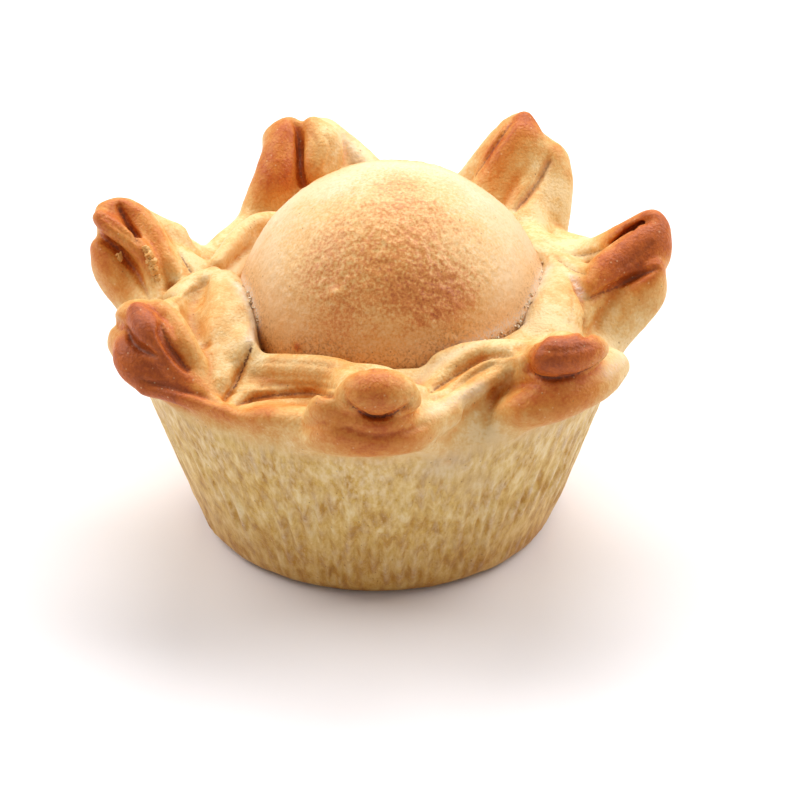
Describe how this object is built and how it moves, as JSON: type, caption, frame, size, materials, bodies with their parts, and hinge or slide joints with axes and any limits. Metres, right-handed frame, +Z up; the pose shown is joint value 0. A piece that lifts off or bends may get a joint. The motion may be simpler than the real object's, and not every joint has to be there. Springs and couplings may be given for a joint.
{
  "type": "chicken pie",
  "caption": "Small baked chicken pie: a fluted, tapered pastry case with a pleated rim of upturned horns round a smooth domed lid. A single serving of food that stands on its flat base.",
  "frame": {"origin": "middle of the flat base, on the case's axis", "axes": "+Z up along the case's axis; the side that the picture shows faces -Y; +X is to its right"},
  "size_m": [0.0944, 0.0901, 0.0606],
  "materials": {
    "pastry_case": "matte",
    "pastry_lid": "satin"
  },
  "bodies": {
    "root": {"case": "pastry_case", "lid": "pastry_lid"}
  },
  "joints": []
}
